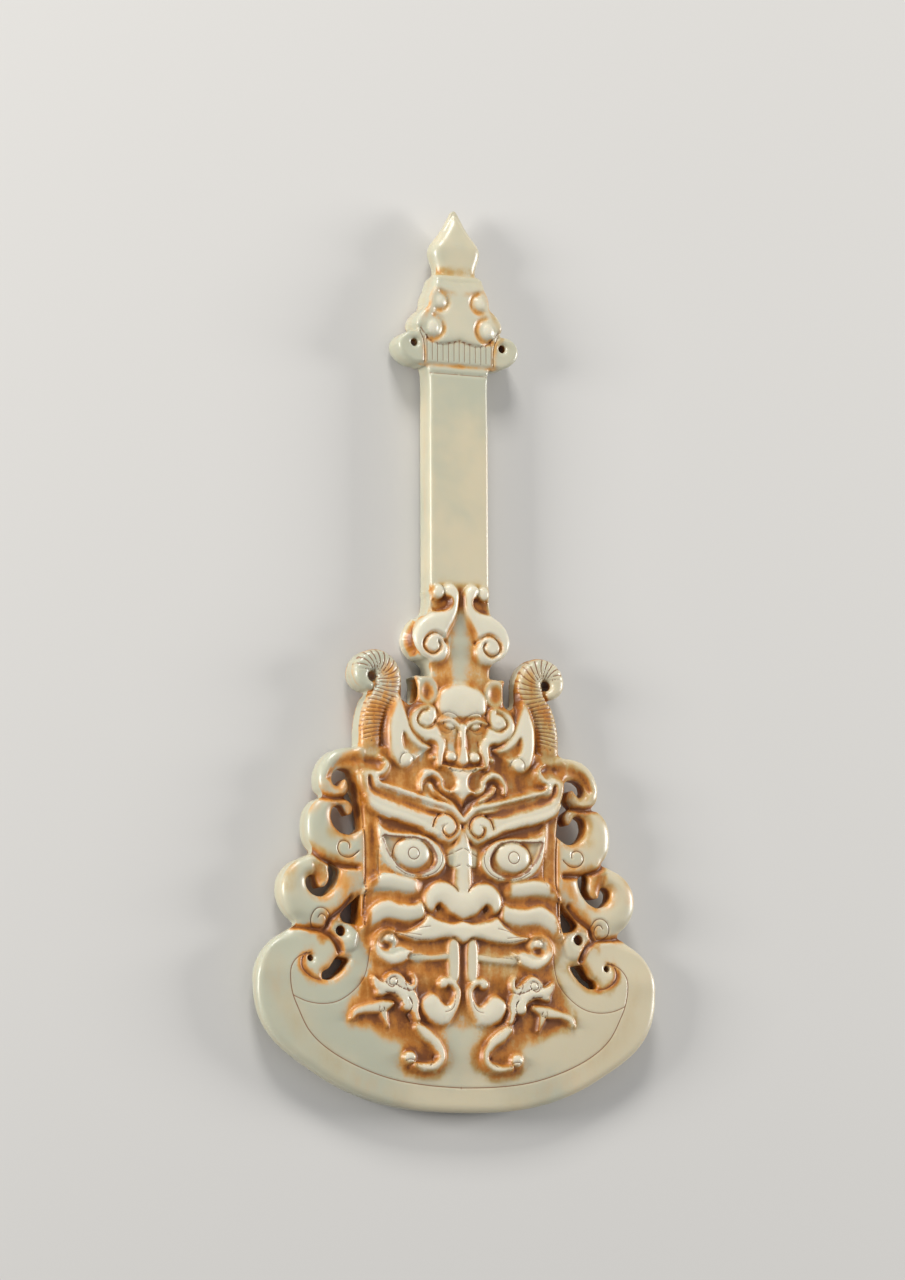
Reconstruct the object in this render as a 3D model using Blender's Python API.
"""Jade ceremonial axe, carved from one stone on both faces, lying on its back.

A wide blade with a scrolled top carries a beast mask, a small horned mask above it, openwork
hooks down both sides and a long flat handle with a collar and a pointed finial.
The part lies on the flat tops of its back carving: +Y runs up the handle, +X to the right and
+Z out of the front face. Plan shapes are drawn on the right half in parts of the length, 300
parts from the tip to the cutting edge, with y counted from the middle of the length.
"""
import math

import bmesh
import bpy
import numpy as np
from mathutils import Vector
from mathutils.geometry import delaunay_2d_cdt

# Driving sizes, in metres
LENGTH = 0.300
HANDLE_WIDTH = 0.0214
HANDLE_THICKNESS = 0.0090
BODY_THICKNESS = 0.0088
HOOK_THICKNESS = 0.0096
BLADE_EDGE_THICKNESS = 0.0058
HORN_THICKNESS = 0.0100
VOLUTE_THICKNESS = 0.0134
RELIEF_RISE = 0.0023
EDGE_ROUNDING = 0.0013
EDGE_DROP = 0.0011
CARVED_SLOPE = 0.0009
EAR_HOLE = 0.0026
HORN_HOLE = 0.0034
LOBE_HOLE = 0.0036
SCROLL_HOLE = 0.0022

# How finely the facets follow the drawing, in metres
RIM_STEP = 0.0038
HOLE_STEP = 0.0028
FORM_STEP = 0.0034
FILL_STEP = 0.0080
LEAST_GAP = 0.00056

PART_NAME = "jade_axe"
PARTS = 300
UNIT = LENGTH / PARTS
MIDDLE = VOLUTE_THICKNESS / 2
HANDLE_HALF = HANDLE_WIDTH / 2 / UNIT

# Plan of the right half, from the finial's tip down to the middle of the cutting edge
FINIAL = [(0.0, 150.0), (1.8, 147.0), (3.5, 144.1), (5.4, 141.4), (7.4, 139.0), (8.7, 136.9),
          (7.9, 133.4), (6.8, 130.0), (6.9, 128.0), (8.3, 126.6), (8.7, 124.0), (10.0, 121.9),
          (10.9, 119.4), (10.9, 117.0), (12.6, 115.2), (14.7, 112.9), (15.6, 110.4), (15.2, 108.0)]
EAR = [(18.1, 107.5), (20.3, 106.1), (21.8, 103.6), (21.2, 100.8), (19.2, 98.6), (16.6, 97.2),
       (13.2, 96.3)]
VOLUTE_EDGE = [(11.6, 13.7), (14.5, 12.1), (16.6, 9.5), (17.6, 5.7), (16.8, 2.3), (14.6, -0.4),
               (11.6, -2.0), (10.9, -4.0), (10.9, -6.9)]
TAB = [(13.6, -7.3), (16.2, -7.5), (15.5, -10.6), (15.5, -13.9), (16.4, -16.2), (18.4, -17.0)]
HORN_EDGE = [(20.4, -14.9), (20.5, -10.2), (21.0, -6.6), (22.4, -3.4), (25.0, -0.6), (28.4, 0.8),
             (32.2, 0.5), (35.4, -1.2), (37.7, -4.0), (38.3, -7.4), (37.2, -10.6), (34.6, -12.5),
             (32.4, -13.4), (34.0, -16.6), (35.3, -20.6), (36.0, -25.4), (36.1, -30.6)]
HOOK_1 = [(37.4, -31.9), (41.2, -32.3), (45.4, -33.7), (48.7, -37.0), (50.4, -41.2), (50.2, -45.4),
          (48.6, -48.3)]
HOOK_2 = [(51.4, -50.0), (53.8, -53.2), (54.7, -57.6), (54.2, -62.4), (52.2, -66.6)]
HOOK_3 = [(55.0, -68.4), (58.8, -70.2), (61.9, -73.3), (63.5, -77.2), (63.3, -82.0), (61.0, -86.6),
          (58.0, -90.0)]
BLADE_EDGE = [(60.6, -92.4), (65.2, -95.3), (68.9, -99.4), (71.1, -104.2), (71.8, -109.6),
              (71.3, -115.6), (69.2, -121.8), (65.4, -127.3), (60.2, -131.9), (53.6, -136.3),
              (45.2, -141.2), (35.6, -145.3), (25.2, -148.1), (13.8, -149.6), (0.0, -150.0)]

# Openings cut right through the right half
HOOK_OPENING = [(43.5, -45.0), (45.2, -44.5), (45.9, -42.7), (45.3, -40.9), (43.6, -39.5),
                (41.1, -39.1), (39.0, -39.7), (37.6, -41.3), (37.0, -43.8), (36.3, -47.0),
                (35.7, -50.8), (35.1, -54.8), (34.9, -58.2), (36.6, -59.7), (39.4, -60.7),
                (42.6, -60.2), (45.1, -58.1), (46.2, -55.2), (45.6, -52.4), (43.5, -51.1),
                (41.7, -51.5), (40.6, -53.0), (39.6, -54.2), (38.6, -53.2), (38.5, -51.4),
                (40.0, -49.5), (41.1, -48.4), (40.0, -46.2), (40.2, -44.1), (41.1, -42.6),
                (42.1, -43.6)]
ARM_OPENING = [(43.0, -72.4), (43.2, -74.6), (44.4, -77.3), (46.6, -79.8), (49.6, -81.3),
               (52.6, -80.7), (54.7, -78.6), (55.1, -76.0), (53.6, -74.5), (51.8, -74.6),
               (51.0, -76.6), (49.9, -78.2), (48.0, -77.5), (46.9, -75.0), (47.2, -72.3),
               (46.4, -70.4), (44.4, -71.0)]
WEDGE_OPENING = [(36.2, -80.4), (38.6, -82.4), (41.2, -84.9), (42.9, -87.2), (41.7, -89.2),
                 (39.0, -89.8), (36.6, -89.6), (36.0, -85.0)]
BLADE_OPENING = [(39.7, -101.4), (40.8, -103.6), (43.2, -106.2), (46.6, -108.2), (49.4, -108.0),
                 (49.3, -105.9), (47.1, -104.4), (45.6, -102.2), (44.2, -100.6), (41.8, -100.8)]
ROUND_HOLES = [((16.0, 103.9), EAR_HOLE), ((31.5, -8.3), HORN_HOLE), ((42.9, -92.3), LOBE_HOLE),
               ((53.4, -101.4), SCROLL_HOLE)]

# Raised and sunk forms of the mask, each an outline on the right half
BROW = [(30.6, -42.9), (27.0, -45.3), (21.0, -47.5), (13.8, -49.2), (7.5, -50.2), (3.4, -52.0),
        (0.4, -55.4), (0.6, -59.2), (2.8, -61.6), (6.0, -62.4), (9.9, -60.9), (15.6, -58.0),
        (22.8, -55.5), (29.6, -53.2), (35.5, -50.0), (38.2, -43.0), (36.0, -39.4), (31.5, -38.9),
        (28.6, -40.4)]
BROW_CHANNEL = [(31.6, -46.6), (26.0, -48.4), (19.0, -50.4), (12.6, -51.4), (9.6, -53.2),
                (12.8, -55.2), (20.0, -54.2), (27.6, -52.0), (32.6, -49.4)]
EYE_FRAME = [(30.3, -56.0), (24.6, -58.6), (17.2, -59.7), (11.6, -60.9), (8.0, -63.6), (6.0, -67.2),
             (6.2, -71.2), (10.2, -73.9), (16.4, -74.4), (22.2, -72.9), (26.6, -70.0), (29.4, -65.6)]
EYE_HOLLOW = [(28.2, -60.8), (20.0, -61.1), (13.2, -62.2), (9.8, -65.2), (9.4, -69.2), (12.6, -72.0),
              (18.0, -72.8), (22.8, -71.0), (26.3, -67.2)]
NOSE = [(-3.0, -77.0), (1.2, -77.4), (3.6, -75.7), (7.0, -74.5), (10.6, -75.3), (13.4, -78.0),
        (14.3, -81.4), (13.2, -84.4), (10.8, -85.0), (9.3, -83.0), (7.0, -83.6), (4.2, -86.0),
        (-3.0, -86.9)]
BRIDGE = [(-2.4, -60.4), (2.0, -63.0), (4.6, -65.0), (4.6, -69.4), (1.8, -70.6), (1.6, -77.8),
          (-2.4, -78.6)]
CHEEK_UPPER = [(35.6, -80.0), (34.0, -76.0), (30.4, -73.6), (26.2, -72.8), (21.4, -73.6),
               (15.6, -75.2), (15.8, -79.2), (20.2, -79.7), (26.4, -78.9), (32.0, -79.0)]
CHEEK_LOWER = [(36.4, -91.0), (34.4, -85.6), (31.0, -82.6), (27.6, -81.5), (22.6, -82.6),
               (17.6, -82.6), (14.9, -81.6), (13.6, -85.4), (15.2, -88.2), (20.6, -89.2),
               (26.8, -88.5), (30.8, -90.2), (34.4, -92.2)]
UPPER_LIP = [(-3.0, -88.0), (4.6, -88.2), (9.4, -87.1), (12.6, -85.9), (15.2, -88.6), (19.2, -91.2),
             (24.4, -92.2), (21.8, -94.0), (16.6, -95.2), (10.8, -94.8), (5.2, -93.6), (1.6, -94.8),
             (-3.0, -95.4)]
TUSK = [(31.6, -96.2), (30.4, -93.4), (27.8, -91.9), (25.0, -92.6), (23.7, -95.0), (24.6, -97.3),
        (21.6, -96.7), (18.6, -98.6), (21.6, -101.2), (26.0, -101.4), (29.4, -99.8)]
LOWER_LIP = [(19.0, -98.6), (12.0, -98.9), (5.3, -98.3), (5.3, -100.5), (12.0, -101.4), (19.6, -101.4)]
TONGUE = [(0.9, -94.5), (5.6, -94.5), (5.5, -106.8), (0.9, -106.8)]
CROWN = [(-3.0, -9.6), (3.0, -10.0), (6.2, -11.8), (8.4, -15.0), (8.8, -18.4), (6.4, -20.8),
         (-3.0, -21.6)]
SMALL_FACE = [(-3.0, -18.0), (8.6, -18.6), (9.8, -23.4), (9.2, -27.6), (11.2, -30.8), (10.6, -34.2),
              (8.2, -36.8), (-3.0, -37.6)]
SMALL_EAR = [(22.0, -14.6), (24.6, -19.0), (26.2, -23.8), (26.6, -29.2), (25.4, -33.8), (22.8, -37.2),
             (19.4, -38.0), (17.6, -35.8), (15.4, -32.6), (11.0, -31.2), (13.4, -28.6), (16.8, -26.0),
             (19.6, -21.6)]
EAR_HOLLOW = [(22.0, -20.0), (23.6, -25.2), (23.6, -30.6), (22.0, -34.0), (19.6, -32.4), (17.0, -29.6),
              (20.0, -25.0)]
BOW = [(-3.0, -38.6), (8.4, -38.2), (12.4, -38.5), (15.0, -41.0), (15.2, -45.0), (12.4, -47.8),
       (6.6, -47.4), (3.0, -49.2), (-3.0, -53.0)]
NECK_VOLUTE = [(0.4, 19.6), (1.1, 14.4), (2.7, 9.3), (4.8, 5.0), (5.0, 1.2), (7.2, -1.6),
               (10.6, -3.2), (17.0, -3.2), (20.6, 5.6), (17.4, 14.4), (11.0, 14.0), (7.6, 15.2),
               (7.0, 18.0), (9.8, 18.4), (12.0, 20.6), (11.4, 23.6), (8.6, 24.8), (4.6, 24.4), (1.4, 22.8)]
DRAGON_HEAD = [(32.8, -106.6), (29.6, -107.6), (27.2, -105.4), (24.0, -104.8), (20.6, -107.6),
               (18.8, -112.6), (18.6, -116.4), (20.2, -118.2), (22.4, -117.4), (23.0, -114.0),
               (27.6, -112.6), (31.6, -111.6)]

# Ridges of the front, each a path on the right half whose third value is its half width,
# followed by its share of the relief's rise
RIDGES = [
    ([(40.8, -121.4, 1.4), (39.0, -118.4, 1.7), (36.0, -117.0, 1.8), (31.0, -116.6, 1.5),
      (28.2, -118.2, 1.4), (27.0, -121.4, 1.3)], 0.6),
    ([(18.4, -110.2, 1.6), (16.9, -115.0, 1.5), (17.4, -120.4, 1.3)], 0.6),
    ([(11.6, -120.0, 3.0), (6.6, -120.4, 2.6), (2.6, -115.4, 1.6), (1.6, -111.2, 1.3),
      (3.2, -108.2, 1.4), (6.4, -107.4, 2.0)], 0.75),
    ([(16.6, -122.6, 2.6), (13.0, -126.0, 2.8), (9.4, -129.2, 2.2), (8.4, -132.6, 2.0),
      (11.0, -135.6, 1.9), (14.6, -135.6, 1.8), (17.8, -133.6, 2.2)], 0.8),
    ([(15.4, -18.0, 1.5), (17.8, -21.4, 1.7), (17.2, -25.6, 1.9), (13.0, -28.0, 1.9),
      (9.2, -28.6, 1.6)], 0.7),
    ([(0.0, -20.0, 1.5), (0.0, -28.0, 1.5), (0.0, -35.0, 2.0)], 1.0),
]
# Rounded bosses of the front: centre, two radii and share of the rise
BOSSES = [
    ((5.6, -57.6), (2.9, 2.9), 1.12), ((3.9, -34.2), (2.5, 2.0), 0.95),
    ((12.6, -21.4), (4.2, 4.0), 0.9), ((19.8, -35.2), (2.1, 2.1), 1.0),
    ((11.2, -116.4), (5.4, 5.2), 1.0), ((18.0, -133.0), (2.4, 2.2), 0.95),
    ((24.6, -108.2), (3.2, 2.6), 0.85), ((5.0, -23.8), (2.2, 1.3), 0.9),
]

HORN_PATH = [(32.4, -29.6, 4.0), (32.0, -24.0, 4.2), (30.0, -17.6, 4.6), (26.6, -11.6, 5.2),
             (26.0, -6.6, 5.0), (29.2, -3.4, 4.2), (33.6, -4.2, 3.8), (35.2, -8.2, 3.2),
             (33.4, -11.0, 2.6)]

# Depth of the front along the finial and collar, as half thicknesses in parts of the length
FINIAL_DEPTH = [(150.0, 0.7), (147.0, 1.6), (137.2, 3.9), (129.4, 3.4), (127.4, 3.8), (123.6, 4.0),
                (118.6, 4.5), (116.4, 4.5), (111.0, 5.2), (105.4, 5.3), (104.6, 4.7), (97.6, 4.7),
                (95.4, 4.4), (93.6, 4.5)]


def smooth_line(points, step, closed=False):
    """A Catmull-Rom curve through the points, in pieces no longer than step."""
    points = np.asarray(points, float)
    count = len(points)
    curve = []
    for i in range(count if closed else count - 1):
        if closed:
            a, b, c, d = (points[(i + k) % count] for k in (-1, 0, 1, 2))
        else:
            a, b, c, d = (points[min(max(i + k, 0), count - 1)] for k in (-1, 0, 1, 2))
        pieces = max(1, math.ceil(np.linalg.norm(c - b) / step - 0.3))
        for t in np.arange(pieces) / pieces:
            curve.append(0.5 * (2 * b + (c - a) * t + (2 * a - 5 * b + 4 * c - d) * t ** 2
                                + (3 * b - a - 3 * c + d) * t ** 3))
    if not closed:
        curve.append(points[-1])
    return np.array(curve)


def circle(centre, radius, sides):
    turns = 2 * math.pi * np.arange(sides) / sides
    return np.column_stack([centre[0] + radius * np.cos(turns), centre[1] + radius * np.sin(turns)])


def ellipse(centre, radii, sides):
    return np.array(centre) + circle((0, 0), 1, sides) * np.array(radii)


def reach(xy, line, closed=True):
    """Distance from each point to a line, and the share of the way along the nearest piece."""
    start = line if closed else line[:-1]
    end = np.roll(line, -1, axis=0) if closed else line[1:]
    run = end - start
    offset = xy[:, None, :] - start[None, :, :]
    share = np.clip((offset * run).sum(2) / np.maximum((run ** 2).sum(1), 1e-12), 0, 1)
    gap = np.linalg.norm(offset - share[:, :, None] * run, axis=2)
    nearest = gap.argmin(axis=1)
    rows = np.arange(len(xy))
    return gap[rows, nearest], nearest, share[rows, nearest]


def inside(xy, loop):
    """True for each point within a closed loop, by crossing count."""
    x, y = xy[:, 0][:, None], xy[:, 1][:, None]
    ax, ay = loop[:, 0], loop[:, 1]
    bx, by = np.roll(ax, -1), np.roll(ay, -1)
    crosses = (ay > y) != (by > y)
    rise = np.where(by == ay, 1.0, by - ay)
    return (crosses & (x < ax + (y - ay) * (bx - ax) / rise)).sum(axis=1) % 2 == 1


def depth_in(xy, loop):
    """Distance into a closed loop, negative outside it."""
    gap = reach(xy, loop)[0]
    return np.where(inside(xy, loop), gap, -gap)


def ease(value):
    value = np.clip(value, 0, 1)
    return value * value * (3 - 2 * value)


def quarter_round(value):
    return np.sqrt(1 - (1 - np.clip(value, 0, 1)) ** 2)


def outer_line():
    """The right half's edge, tip to cutting edge, with the handle's side set by its width."""
    handle = [(HANDLE_HALF, 93.6), (HANDLE_HALF, 70.0), (HANDLE_HALF, 47.0), (HANDLE_HALF, 24.0),
              (HANDLE_HALF + 0.3, 21.2), (HANDLE_HALF, 18.4)]
    corners = [FINIAL, EAR, handle, VOLUTE_EDGE, TAB, HORN_EDGE, HOOK_1, HOOK_2, HOOK_3, BLADE_EDGE]
    line = np.array([point for run in corners for point in run])
    line = smooth_line(line, RIM_STEP / UNIT)
    line[:, 0] = np.maximum(line[:, 0], 0)
    return line


def openings():
    drawn = [HOOK_OPENING, ARM_OPENING, WEDGE_OPENING, BLADE_OPENING]
    loops = [smooth_line(loop, HOLE_STEP / UNIT, closed=True) for loop in drawn]
    loops += [circle(centre, width / 2 / UNIT, 10) for centre, width in ROUND_HOLES]
    return loops


OUTER = outer_line()
OPENINGS = openings()


def edge_gap(xy):
    """Distance from each point to the nearest carved-through edge."""
    gaps = [reach(xy, OUTER, closed=False)[0]] + [reach(xy, loop)[0] for loop in OPENINGS]
    return np.min(gaps, axis=0)


def form_line(points):
    """The smooth outline of a raised form."""
    return smooth_line(points, FORM_STEP / UNIT, closed=True)


def stamp(height, xy, loop, level, slope=None):
    """Brings the surface to a level inside a loop, by a slope across its outline."""
    slope = CARVED_SLOPE / UNIT if slope is None else slope
    share = ease(depth_in(xy, form_line(loop)) / slope + 0.5)
    return height + (level - height) * share


def mound(height, xy, centre, radii, foot, top):
    """A rounded boss: an ellipse in plan that rises from foot to top."""
    spread = np.hypot((xy[:, 0] - centre[0]) / radii[0], (xy[:, 1] - centre[1]) / radii[1])
    boss = foot + (top - foot) * np.sqrt(np.clip(1 - spread ** 2, 0, 1))
    return np.where(spread < 1, np.maximum(height, boss), height)


def ridge(height, xy, path, foot, top):
    """A rounded ridge along a path whose third value is its half width."""
    path = smooth_line(path, FORM_STEP / UNIT)
    gap, piece, share = reach(xy, path[:, :2], closed=False)
    half = path[piece, 2] + share * (path[piece + 1, 2] - path[piece, 2])
    boss = foot + (top - foot) * np.sqrt(np.clip(1 - (gap / half) ** 2, 0, 1))
    return np.where(gap < 0.99 * half, np.maximum(height, boss), height)


def body_depth(xy):
    """Half thickness of the plain body, before its carving and rounded edges."""
    x, y = xy[:, 0], xy[:, 1]
    hook = HOOK_THICKNESS / 2 / UNIT
    body = BODY_THICKNESS / 2 / UNIT
    rim = BLADE_EDGE_THICKNESS / 2 / UNIT
    handle = HANDLE_THICKNESS / 2 / UNIT
    edge = np.asarray(BLADE_EDGE, float)
    away = reach(xy, edge, closed=False)[0]
    blade = rim + (body - rim) * ease(away / 22)
    depth = body + (blade - body) * ease((-100.0 - y) / 12.0)
    beside = ease((x - 34.0) / 1.2) * ease((-31.0 - y) / 2.0) * ease((y + 96.0) / 6.0)
    depth = depth + (np.minimum(hook, hook - (hook - rim) * ease((-88 - y) / 10)) - depth) * beside
    scroll = ease((x - 38.0) / 3.0) * ease((-88.0 - y) / 3.0) * ease((y + 108.0) / 8.0)
    depth = depth + (blade - depth) * scroll
    depth = np.where((y > -8) & (x < 12.5), handle, depth)
    table = np.array(FINIAL_DEPTH)[::-1]
    depth = np.where(y > 93.6, np.interp(y, table[:, 0], table[:, 1]), depth)
    return depth


def carve_mask(height, xy, ground, rise, plain):
    """The two masks and the pair of dragons, raised from the ground they stand on."""
    top = ground + rise
    height = stamp(height, xy, SMALL_EAR, ground + 0.75 * rise)
    height = stamp(height, xy, SMALL_FACE, ground + 0.62 * rise)
    height = stamp(height, xy, CROWN, top)
    height = stamp(height, xy, BOW, ground + 0.8 * rise)
    height = stamp(height, xy, BROW, top)
    height = stamp(height, xy, EYE_FRAME, ground + 0.7 * rise)
    height = stamp(height, xy, EYE_HOLLOW, ground + 0.2 * rise)
    height = mound(height, xy, (18.2, -66.1), (6.4, 4.8), ground + 0.2 * rise, top)
    height = stamp(height, xy, CHEEK_UPPER, ground + 0.7 * rise)
    height = stamp(height, xy, CHEEK_LOWER, ground + 0.8 * rise)
    height = stamp(height, xy, BRIDGE, ground + 0.7 * rise)
    height = stamp(height, xy, NOSE, top)
    height = stamp(height, xy, UPPER_LIP, top if plain else ground + 0.85 * rise)
    height = stamp(height, xy, TUSK, ground + 0.8 * rise)
    height = stamp(height, xy, LOWER_LIP, ground + 0.35 * rise)
    height = stamp(height, xy, TONGUE, ground + 0.6 * rise)
    if plain:
        return height
    height = stamp(height, xy, EAR_HOLLOW, ground + 0.2 * rise)
    height = stamp(height, xy, BROW_CHANNEL, ground + 0.55 * rise, 1.6)
    height = stamp(height, xy, DRAGON_HEAD, ground + 0.6 * rise)
    for path, share in RIDGES:
        height = ridge(height, xy, path, ground, ground + share * rise)
    for centre, radii, share in BOSSES:
        height = mound(height, xy, centre, radii, ground, ground + share * rise)
    return height


def surface(xy, plain):
    """Depth of one face from the middle plane, in parts of the length."""
    body = BODY_THICKNESS / 2 / UNIT
    horn = HORN_THICKNESS / 2 / UNIT
    volute = VOLUTE_THICKNESS / 2 / UNIT
    rise = volute - body if plain else RELIEF_RISE / UNIT
    height = body_depth(xy)
    horn_side = ease((xy[:, 0] - 19.5) / 1.0) * ease((xy[:, 1] + 32.0) / 1.5)
    height = height + (0.55 * horn - height) * horn_side * (xy[:, 1] < 4)
    height = ridge(height, xy, HORN_PATH, 0.55 * horn, horn)
    ear_side = ease((xy[:, 0] - 12.8) / 1.4) * (xy[:, 1] > 90) * ease((108.2 - xy[:, 1]) / 0.8)
    height = height + (0.62 * HANDLE_THICKNESS / 2 / UNIT - height) * ear_side
    height = carve_mask(height, xy, body, rise, plain)
    height = stamp(height, xy, NECK_VOLUTE, volute)
    for centre, radius in (((9.7, 109.0), 3.4), ((7.3, 118.4), 2.2)):
        height = mound(height, xy, centre, (radius, radius * 1.2), 4.2, 6.2)
    round_share = EDGE_ROUNDING / UNIT
    drop = EDGE_DROP / UNIT * (1 - quarter_round(edge_gap(xy) / round_share))
    drop = drop * np.where(xy[:, 1] > 108.6, 1.7, 1.0)
    return height - np.minimum(drop, 0.5 * height)


def offset_points(loop, distance, closed=True):
    """Points beside a loop: each corner moved square to its two sides."""
    before = np.roll(loop, 1, axis=0)
    after = np.roll(loop, -1, axis=0)
    if not closed:
        before[0], after[-1] = loop[0], loop[-1]
    along = after - before
    along /= np.maximum(np.linalg.norm(along, axis=1), 1e-9)[:, None]
    normal = np.column_stack([-along[:, 1], along[:, 0]])
    return loop + distance * normal


def area(loop):
    x, y = loop[:, 0], loop[:, 1]
    return 0.5 * float(np.sum(x * np.roll(y, -1) - np.roll(x, -1) * y))


def beside(loop, distance):
    """Points at a distance inside a closed loop, or outside for a negative one."""
    loop = np.asarray(loop, float)
    return offset_points(loop, distance if area(loop) > 0 else -distance)


def relief_points(plain):
    """Points that the carving needs: the foot and the shoulder of each form."""
    half = CARVED_SLOPE / UNIT * 0.5
    forms = [CROWN, SMALL_FACE, SMALL_EAR, BOW, BROW, NOSE, BRIDGE, EYE_FRAME, EYE_HOLLOW,
             CHEEK_UPPER, CHEEK_LOWER, UPPER_LIP, TUSK, LOWER_LIP, TONGUE, NECK_VOLUTE]
    if not plain:
        forms += [EAR_HOLLOW, DRAGON_HEAD]
    points = []
    for form in forms:
        line = form_line(form)
        points += [beside(line, half), beside(line, -half)]
    if not plain:
        points.append(np.asarray(BROW_CHANNEL, float))
    mounds = [((18.2, -66.1), (6.4, 4.8)), ((9.7, 109.0), (3.4, 4.1)), ((7.3, 118.4), (2.2, 2.6))]
    paths = [HORN_PATH]
    if not plain:
        mounds += [(centre, radii) for centre, radii, _ in BOSSES]
        paths += [path for path, _ in RIDGES]
    for centre, radii in mounds:
        sides = 9 if radii[0] > 4 else 6
        points.append(np.array([centre]))
        points += [ellipse(centre, share * np.array(radii), sides) for share in (0.62, 1.0)]
    for path in paths:
        line = smooth_line(path, FORM_STEP / UNIT)
        for share in (0.0, -0.6, 0.6, -1.05, 1.05):
            points.append(offset_points(line[:, :2], share * line[:, 2:3], False))
    for y, _ in FINIAL_DEPTH[1:]:
        points.append(np.array([(x, y) for x in (0.0, 4.2, 8.0, 11.6)]))
    return np.concatenate(points)


def fill_points():
    """A loose lattice for the plain stretches, and the middle line that both halves share."""
    step = FILL_STEP / UNIT
    rows = np.arange(-149, 150, step)
    columns = np.arange(0.4 * step, 72, step)
    return np.array([(x + (k % 2) * step / 2, y) for k, y in enumerate(rows) for x in columns])


def thin_out(points, fixed):
    """Drops points outside the stone, too near its edges or too near a point already kept."""
    least = LEAST_GAP / UNIT
    outline = np.vstack([OUTER, [(0.0, OUTER[0, 1])]])
    points = points[inside(points, outline) & (points[:, 0] > least)]
    for loop in OPENINGS:
        points = points[~inside(points, loop)]
    points = points[edge_gap(points) > 0.9 * least]
    kept = list(fixed)
    cells = {}
    for index, point in enumerate(kept):
        cells.setdefault((int(point[0] // least), int(point[1] // least)), []).append(index)
    for point in points:
        cx, cy = int(point[0] // least), int(point[1] // least)
        near = [i for dx in (-1, 0, 1) for dy in (-1, 0, 1) for i in cells.get((cx + dx, cy + dy), [])]
        if all(math.dist(point, kept[i]) >= least for i in near):
            cells.setdefault((cx, cy), []).append(len(kept))
            kept.append(point)
    return np.array(kept)


def flat_sheet(plain):
    """The right half's face as triangles in plan, and how many of its points are its rim."""
    middle_line = [(0.0, y) for y in np.linspace(OUTER[-1, 1], OUTER[0, 1], 62)[1:-1]]
    loops = [np.vstack([OUTER, middle_line])] + OPENINGS
    fixed = np.vstack(loops)
    edges, start = [], 0
    for loop in loops:
        edges += [(start + k, start + (k + 1) % len(loop)) for k in range(len(loop))]
        start += len(loop)
    ring = np.vstack([offset_points(OUTER, -EDGE_ROUNDING / UNIT, False)]
                     + [beside(loop, -EDGE_ROUNDING / UNIT) for loop in OPENINGS])
    ring = ring[edge_gap(ring) > 0.75 * EDGE_ROUNDING / UNIT]
    carved = thin_out(np.vstack([ring, relief_points(plain)]), fixed)
    loose = thin_out(fill_points(), carved)[len(carved):]
    gap = np.array([np.min(np.hypot(*(carved - point).T)) for point in loose])
    points = np.vstack([carved, loose[gap > 0.42 * FILL_STEP / UNIT]])
    result = delaunay_2d_cdt([Vector(p) for p in points], edges, [], 0, 1e-5)
    plan = np.array([tuple(v) for v in result[0]])
    triangles = np.array(result[2])
    centres = plan[triangles].mean(axis=1)
    keep = inside(centres, loops[0])
    for loop in OPENINGS:
        keep &= ~inside(centres, loop)
    return plan, triangles[keep], len(fixed)


def add_face_sheet(bm, plan, triangles, depth, front):
    """One face of the stone: the plan's triangles, each point at its depth from the middle."""
    side = 1 if front else -1
    verts = [bm.verts.new((x * UNIT, y * UNIT, MIDDLE + side * d * UNIT)) for (x, y), d in zip(plan, depth)]
    for a, b, c in triangles:
        corners = (verts[a], verts[b], verts[c]) if front else (verts[c], verts[b], verts[a])
        bm.faces.new(corners)
    return verts


def close_sides(bm, front, back, rim_count):
    """Walls between the two faces along every edge but the middle line."""
    loops = [len(OUTER)] + [len(loop) for loop in OPENINGS]
    middle_count = rim_count - sum(loops)
    start = 0
    for number, count in enumerate(loops):
        is_outer = number == 0
        pairs = range(count - 1) if is_outer else range(count)
        for k in pairs:
            a, b = start + k, start + (k + 1) % count
            bm.faces.new((front[b], front[a], back[a], back[b]))
        start += count + (middle_count if is_outer else 0)


def build_axe():
    bm = bmesh.new()
    sheets = {}
    for is_front in (True, False):
        plan, triangles, rim_count = flat_sheet(plain=not is_front)
        depth = surface(plan, plain=not is_front)
        depth = np.minimum(depth, (VOLUTE_THICKNESS / 2) / UNIT)
        sheets[is_front] = add_face_sheet(bm, plan, triangles, depth, is_front)
    close_sides(bm, sheets[True], sheets[False], rim_count)
    bmesh.ops.delete(bm, geom=[v for v in bm.verts if not v.link_faces], context="VERTS")
    bmesh.ops.mirror(bm, geom=bm.verts[:] + bm.edges[:] + bm.faces[:], axis="X", merge_dist=1e-6)
    bmesh.ops.recalc_face_normals(bm, faces=bm.faces[:])
    mesh = bpy.data.meshes.new(PART_NAME)
    bm.to_mesh(mesh)
    bm.free()
    mesh.shade_smooth()
    mesh.set_sharp_from_angle(angle=math.radians(38))
    return bpy.data.objects.new(PART_NAME, mesh)


def jade_material():
    material = bpy.data.materials.new("celadon_jade")
    material.use_nodes = True
    shader = material.node_tree.nodes["Principled BSDF"]
    shader.inputs["Base Color"].default_value = (0.62, 0.60, 0.42, 1.0)
    shader.inputs["Roughness"].default_value = 0.28
    shader.inputs["Metallic"].default_value = 0.0
    return material


def clear_scene():
    for item in list(bpy.data.objects):
        bpy.data.objects.remove(item, do_unlink=True)


def main():
    clear_scene()
    collection = bpy.data.collections.new(PART_NAME)
    bpy.context.scene.collection.children.link(collection)
    axe = build_axe()
    axe.data.materials.append(jade_material())
    collection.objects.link(axe)


main()
